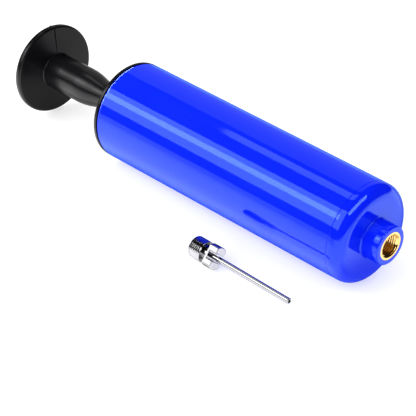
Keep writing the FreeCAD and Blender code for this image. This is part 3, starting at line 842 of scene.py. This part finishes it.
# %% The nozzle insert
INSERT_REAR = x_range("nozzle_insert")[0]
INSERT_COLUMNS = 128
MINOR_RADIUS = 3.45
ROOT_RADIUS = MINOR_RADIUS + THREAD_DEPTH
CHAMFER = 0.45
CHAMFER_SLOPE = 0.6
LEAD_IN = 0.5
THREAD_FADE = 0.4
BEYOND_MOUTH = 1.0
ROUNDING_ERROR = 0.001


def insert_outline():
    """The chamfered rim, the outside, and the bore with enough points for its thread."""
    outline = rounded([
        (MOUTH - CHAMFER, ROOT_RADIUS), (MOUTH, ROOT_RADIUS + CHAMFER * CHAMFER_SLOPE, 0.06),
        (MOUTH, INSERT_RADIUS, 0.12),
        (INSERT_REAR, INSERT_RADIUS, 0.3), (INSERT_REAR, MINOR_RADIUS),
    ])
    rows = round((MOUTH - CHAMFER - INSERT_REAR) / PITCH * POINTS_PER_PITCH)
    last = len(outline) - 1
    return filled_in(outline, last, rows)


def insert_relief(x, radius, angle):
    """Cut the thread outward into the bore, and leave the rest of the bush alone."""
    start = MOUTH - CHAMFER
    if radius > ROOT_RADIUS + ROUNDING_ERROR or x > start - ROUNDING_ERROR:
        return radius
    root = 1.0 - thread_wave(x, angle)
    lead_in = max(0.0, 1.0 - (start - x) / LEAD_IN)
    fade = faded(x, INSERT_REAR, BEYOND_MOUTH, THREAD_FADE)
    return MINOR_RADIUS + THREAD_DEPTH * max(root * fade, lead_in)


build = bmesh.new()
add_turned(build, insert_outline(), segments=INSERT_COLUMNS, relief=insert_relief)
finish_piece(build, "nozzle_bush", "barrel", "brass", ["nozzle_insert"],
             sharp_angle=THREAD_SHARP_ANGLE)

# %% [markdown]
# ## The rear cap
# Only its thin flange shows from the front. Behind it a short gland carries the bush and the seal
# that the rod runs in. On its inner side are the pockets for that bush and seal, a groove that the
# liner stands in, and a spigot with its own O-ring groove.

# %% The rear cap
GLAND_REAR = x_range("end_cap")[0]
FLANGE_REAR = BARREL_REAR - 1.4
FLANGE_ROUNDING = 0.5
GLAND_RADIUS = 9.0
ROD_HOLE = 4.5
BUSH_POCKET = (-129.0, 5.42)
SEAL_POCKET = (-122.2, 7.0)
RETAINER_POCKET = (-119.6, 8.5)
INNER_FACE = -118.6
LINER_GROOVE = (-120.0, 12.15, 13.45)
SKIRT = (-115.0, 15.2)
REAR_O_RING_GROOVE = (-119.2, -120.4, 15.95)


def rear_cap_outline():
    """The flange and gland outside, then the pockets from the rod's hole to the barrel."""
    spigot = SOCKET_REAR - SPIGOT_GAP
    bush_end, bush = BUSH_POCKET
    seal_end, seal = SEAL_POCKET
    retainer_end, retainer = RETAINER_POCKET
    liner_end, liner_inside, liner_outside = LINER_GROOVE
    skirt_front, skirt_inside = SKIRT
    groove_front, groove_rear, groove_floor = REAR_O_RING_GROOVE
    return rounded([
        (BARREL_REAR, spigot), (BARREL_REAR, REAR_RADIUS, 0.1),
        (FLANGE_REAR, REAR_RADIUS, FLANGE_ROUNDING),
        (FLANGE_REAR, GLAND_RADIUS, FLANGE_ROUNDING), (GLAND_REAR, GLAND_RADIUS, 0.8),
        (GLAND_REAR, ROD_HOLE), (bush_end, ROD_HOLE), (bush_end, bush), (seal_end, bush),
        (seal_end, seal), (retainer_end, seal), (retainer_end, retainer),
        (INNER_FACE, retainer), (INNER_FACE, liner_inside), (liner_end, liner_inside),
        (liner_end, liner_outside), (INNER_FACE, liner_outside), (INNER_FACE, skirt_inside),
        (skirt_front, skirt_inside), (skirt_front, spigot, 0.3), (groove_front, spigot),
        (groove_front, groove_floor), (groove_rear, groove_floor), (groove_rear, spigot),
    ])


build = bmesh.new()
add_turned(build, rear_cap_outline())
finish_piece(build, "rear_cap", "barrel", "black_plastic", ["end_cap"])

# %% [markdown]
# ## The handle
# One gloss black moulding: a thin palm disc with a rounded rim, a straight stem that fills the
# fingers, and a neck that narrows towards the barrel. A fine line, like the mark of a mould's
# split, runs from the top of the stem to the rim on the underside of the disc. It is a real
# groove in the mesh: the turned columns are closer there, and the middle ones are pushed in.

# %% The handle
PALM_FACE, NECK_FRONT = x_range("handle_grip")
PALM_RADIUS = outer_radius("handle_grip")
STEM_RADIUS = 6.95
NECK_RADIUS = 4.85
NECK_REAR = -137.0
STEM_FRONT = -145.8
NECK_CURVE = 30.0
STEM_REAR = -165.6
RIM_FRONT = -167.2
RIM_REAR = -169.6
RIM_ROUNDING = 1.0
CROWN = (-171.1, 11.5, 12.0)
ROD_BORE = (-159.1, 3.52)
SCREW_BORE = (-162.3, 2.1)
HEAD_POCKET = (-167.0, 4.7)
PLUG_POCKET_RADIUS = 6.4


def handle_outline():
    """The neck, stem and disc outside, then the plug's, screw's and rod's bores."""
    rod_end, rod = ROD_BORE
    screw_end, screw = SCREW_BORE
    pocket_end, pocket = HEAD_POCKET
    return rounded([
        (NECK_FRONT, rod), (NECK_FRONT, NECK_RADIUS, 0.5), (NECK_REAR, NECK_RADIUS, NECK_CURVE),
        (STEM_FRONT, STEM_RADIUS, NECK_CURVE), (STEM_REAR, STEM_RADIUS, 0.4),
        (RIM_FRONT, PALM_RADIUS, RIM_ROUNDING), (RIM_REAR, PALM_RADIUS, RIM_ROUNDING), CROWN,
        (PALM_FACE, PLUG_POCKET_RADIUS), (pocket_end, PLUG_POCKET_RADIUS), (pocket_end, pocket),
        (screw_end, pocket), (screw_end, screw), (rod_end, screw), (rod_end, rod),
    ], steps=FINE_STEPS)


print("handle is", round(NECK_FRONT - PALM_FACE, 1), "mm long")

# %% The groove under the disc
GROOVE_ANGLE = 93.0
GROOVE_FLOOR = 0.6
GROOVE_TOP = 1.0
GROOVE_CLEAR = 1.4
GROOVE_REACH = (-170.0, -165.0)
GROOVE_DEPTH = 0.35


def handle_angles():
    """Even angles round the handle, with four close ones for the groove."""
    even = [360.0 * step / SEGMENTS for step in range(SEGMENTS)]
    kept = [angle for angle in even if abs(angle - GROOVE_ANGLE) > GROOVE_CLEAR]
    offsets = (-GROOVE_TOP, -GROOVE_FLOOR, GROOVE_FLOOR, GROOVE_TOP)
    return sorted(kept + [GROOVE_ANGLE + offset for offset in offsets])


def press_groove(build):
    """Push the middle of the close columns into the underside and the rim of the disc."""
    rear, front = GROOVE_REACH
    between = (GROOVE_FLOOR + GROOVE_TOP) / 2
    for point in build.verts:
        across = math.degrees(math.atan2(point.co.z, -point.co.y)) - GROOVE_ANGLE
        on_disc = rear * MM < point.co.x < front * MM and point.co.z > STEM_RADIUS * MM
        if on_disc and abs(across) < between:
            point.co.x -= GROOVE_DEPTH * MM


build = bmesh.new()
add_turned(build, handle_outline(), angles=handle_angles())
press_groove(build)
finish_piece(build, "handle_moulding", "handle", "black_plastic", ["handle_grip"])

# %% [markdown]
# ## The palm plug
# A round plug closes the hole through which the handle's screw is driven. It is pressed in flush
# with the middle of the palm side, so only the fine ring round it shows.

# %% The palm plug
PLUG_COLUMNS = 96
PLUG_RADIUS = 6.35
PLUG_STEM = (-169.0, 5.4)
PLUG_HEAD_FRONT = -167.2


def palm_plug_outline():
    """A thin head with a small rounding round its face."""
    stem_end, stem = PLUG_STEM
    return rounded([
        (stem_end, 0.0), (stem_end, stem), (PLUG_HEAD_FRONT, stem),
        (PLUG_HEAD_FRONT, PLUG_RADIUS), (PALM_FACE, PLUG_RADIUS, 0.25), (PALM_FACE, 0.0),
    ])


build = bmesh.new()
add_turned(build, palm_plug_outline(), segments=PLUG_COLUMNS)
finish_piece(build, "palm_cover", "handle", "black_plastic", ["palm_plug"])

# %% [markdown]
# ## The loose needle
# A plated hub with the same thread as the nozzle, a neck, and a collar to turn it by. The collar
# has two flats, and a slot across its front leaves two ears, one each side of the tube. The needle
# lies level on the floor, resting on its collar.
# The threaded half is turned like the other pieces.

# %% The needle's hub
HUB_LOW, HUB_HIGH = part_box("needle_hub")
HUB_LENGTH = (HUB_HIGH[0] - HUB_LOW[0]) / MM
COLLAR_RADIUS = 4.1
MAJOR_RADIUS = 3.85
THREAD_END = 5.4
HUB_NECK_RADIUS = 2.5
COLLAR_REAR = 6.7
TUBE_HOLE = 0.82
PASSAGE = (3.0, 1.6)
HUB_COLUMNS = 128
HUB_THREAD = (0.3, 5.3, 0.5)
NEEDLE_OFFSET = Vector((HUB_LOW[0], (HUB_LOW[1] + HUB_HIGH[1]) / 2,
                        cad_low.z + COLLAR_RADIUS * MM))


def hub_outline(steps=8):
    """The threaded cylinder and the neck, which ends inside the collar."""
    inside_collar = COLLAR_REAR + 0.3
    passage_end, passage = PASSAGE
    outline = rounded([
        (0.0, passage, 0.2), (0.0, MAJOR_RADIUS, 0.4), (THREAD_END, MAJOR_RADIUS),
        (THREAD_END, HUB_NECK_RADIUS), (inside_collar, HUB_NECK_RADIUS),
        (inside_collar, TUBE_HOLE), (passage_end, TUBE_HOLE), (passage_end, passage),
    ], steps=steps)
    thread_start = 2 * (steps + 1) - 1
    rows = round(THREAD_END / PITCH * POINTS_PER_PITCH)
    return filled_in(outline, thread_start, rows)


def hub_relief(x, radius, angle):
    """Cut the thread into the rear cylinder."""
    if abs(radius - MAJOR_RADIUS) > ROUNDING_ERROR:
        return radius
    return radius - THREAD_DEPTH * (1.0 - thread_wave(x, angle)) * faded(x, *HUB_THREAD)


print("hub is", round(HUB_LENGTH, 1), "mm long")

# %% [markdown]
# The collar isn't round, so it is built as stacked layers of one outline. Its edges are bevelled,
# which gives plated metal the bright edge lines that it needs.

# %% The collar and its ears
SLOT_FLOOR = HUB_LENGTH - 2.9
HALF_SLOT = 1.4
HALF_FLATS = 2.5
EAR_ANGLE = math.radians(50.0)
BEVEL = 0.32
BEVEL_ABOVE = 30.0


def ear_outline(side, steps=20):
    """One ear's edge, as (along, across) the line through both ears, in millimetres."""
    corner = math.asin(HALF_FLATS / COLLAR_RADIUS)
    points = [(side * HALF_SLOT, -side * HALF_FLATS)]
    for step in range(steps + 1):
        turn = corner * (2.0 * step / steps - 1.0)
        points.append((side * COLLAR_RADIUS * math.cos(turn),
                       side * COLLAR_RADIUS * math.sin(turn)))
    points.append((side * HALF_SLOT, side * HALF_FLATS))
    return points


def collar_layer(build, x, outline):
    """The outline as points at x, turned to the angle that the ears stand at."""
    cosine = math.cos(EAR_ANGLE)
    sine = math.sin(EAR_ANGLE)
    return [build.verts.new((x * MM, (along * cosine - across * sine) * MM,
                             (along * sine + across * cosine) * MM))
            for along, across in outline]


def add_walls(build, below, above):
    """Join two layers all round."""
    for index in range(len(below)):
        after = (index + 1) % len(below)
        build.faces.new([below[index], below[after], above[after], above[index]])


def add_collar(build):
    """A flat-sided collar with a slot across its front."""
    first = ear_outline(1.0)
    second = ear_outline(-1.0)
    rear = collar_layer(build, COLLAR_REAR, first + second)
    slot_level = collar_layer(build, SLOT_FLOOR, first + second)
    build.faces.new(rear)
    add_walls(build, rear, slot_level)
    first_base = slot_level[:len(first)]
    second_base = slot_level[len(first):]
    build.faces.new([first_base[0], first_base[-1], second_base[0], second_base[-1]])
    for outline, base in ((first, first_base), (second, second_base)):
        top = collar_layer(build, HUB_LENGTH, outline)
        build.faces.new(top)
        add_walls(build, base, top)


def bevel_edges(build, width, sharpest):
    """Round every outward edge that is sharper than the given angle."""
    bmesh.ops.recalc_face_normals(build, faces=build.faces)
    edges = [edge for edge in build.edges
             if edge.is_manifold and edge.calc_face_angle_signed() > sharpest]
    bmesh.ops.bevel(build, geom=edges, offset=width, offset_type="OFFSET", segments=3,
                    profile=0.5, affect="EDGES", clamp_overlap=True)


build = bmesh.new()
add_collar(build)
bevel_edges(build, BEVEL * MM, math.radians(BEVEL_ABOVE))
print("collar with", len(build.faces), "faces")
add_turned(build, hub_outline(), segments=HUB_COLUMNS, relief=hub_relief)
finish_piece(build, "needle_hub_turned", "needle", "chrome", ["needle_hub"],
             offset=NEEDLE_OFFSET, sharp_angle=THREAD_SHARP_ANGLE)

# %% [markdown]
# ## The needle's tube
# A drawn tube with an open, rounded tip. Its rear end has a thinner shank that is fixed in the
# hub's hole.

# %% The needle's tube
TUBE_RADIUS = 1.0
TUBE_BORE = 0.6
TIP_ROUNDING = 0.28
SHANK_RADIUS = 0.8
TUBE_COLUMNS = 64
TUBE_FRONT = (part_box("needle_tube")[1][0] - HUB_LOW[0]) / MM
TUBE_REAR = (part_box("needle_tube")[0][0] - HUB_LOW[0]) / MM


def tube_outline():
    """The shank, the tube, its rounded tip and its bore."""
    return rounded([
        (TUBE_REAR, TUBE_BORE), (TUBE_REAR, SHANK_RADIUS), (HUB_LENGTH, SHANK_RADIUS),
        (HUB_LENGTH, TUBE_RADIUS), (TUBE_FRONT, TUBE_RADIUS, TIP_ROUNDING),
        (TUBE_FRONT, TUBE_BORE, 0.1),
    ])


build = bmesh.new()
add_turned(build, tube_outline(), segments=TUBE_COLUMNS)
finish_piece(build, "needle_tube_drawn", "needle", "chrome", ["needle_tube"],
             offset=NEEDLE_OFFSET)
